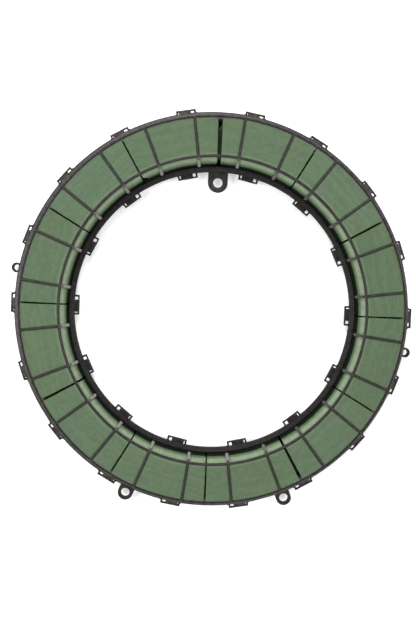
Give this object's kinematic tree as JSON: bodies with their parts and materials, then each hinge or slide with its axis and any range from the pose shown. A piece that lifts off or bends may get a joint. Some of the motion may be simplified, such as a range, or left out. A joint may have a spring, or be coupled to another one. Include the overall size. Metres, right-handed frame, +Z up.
{
  "type": "caged floral foam ring",
  "caption": "Floral foam wreath ring: foam blocks in a round trough tray under a ribbed clip-on cage, with a hanging tab and eyelets.",
  "frame": {"origin": "on the ring's axis, on the surface that the tray stands on", "axes": "+Z up along the ring's axis, from the tray to the cage; +Y towards the hanging tab; +X to the right of it seen from above"},
  "size_m": [0.611, 0.6052, 0.0573],
  "materials": {
    "tray_plastic": "moulded polypropylene, satin",
    "cage_plastic": "moulded polypropylene, satin",
    "foam": "dry open-cell phenolic floral foam, matt and dusty"
  },
  "bodies": {
    "tray_body": {"tray_floor": "tray_plastic", "tray_inner_wall": "tray_plastic", "tray_outer_wall": "tray_plastic", "tray_rims": "tray_plastic", "outer_clip_loops": "tray_plastic", "inner_clip_loops": "tray_plastic", "hanger_tab": "tray_plastic", "eyelet_left": "tray_plastic", "eyelet_right": "tray_plastic", "eyelet_lower_left": "tray_plastic", "eyelet_lower_right": "tray_plastic", "foam_block_01": "foam", "foam_block_02": "foam", "foam_block_03": "foam", "foam_block_04": "foam", "foam_block_05": "foam", "foam_block_06": "foam", "foam_block_07": "foam", "foam_block_08": "foam", "foam_block_09": "foam", "foam_block_10": "foam", "foam_block_11": "foam", "foam_block_12": "foam"},
    "cage_body": {"cage_outer_foot_ring": "cage_plastic", "cage_inner_foot_ring": "cage_plastic", "cage_posts": "cage_plastic", "cage_top_ring": "cage_plastic", "cage_top_bars": "cage_plastic", "cage_mid_ring": "cage_plastic", "cage_inner_ribs": "cage_plastic", "outer_snap_hooks": "cage_plastic", "inner_snap_hooks": "cage_plastic"}
  },
  "joints": [
    {"name": "cage_lift", "type": "slide", "parent": "tray_body", "child": "cage_body", "axis": [0, 0, 1], "range_m": [0, 0.08]}
  ]
}
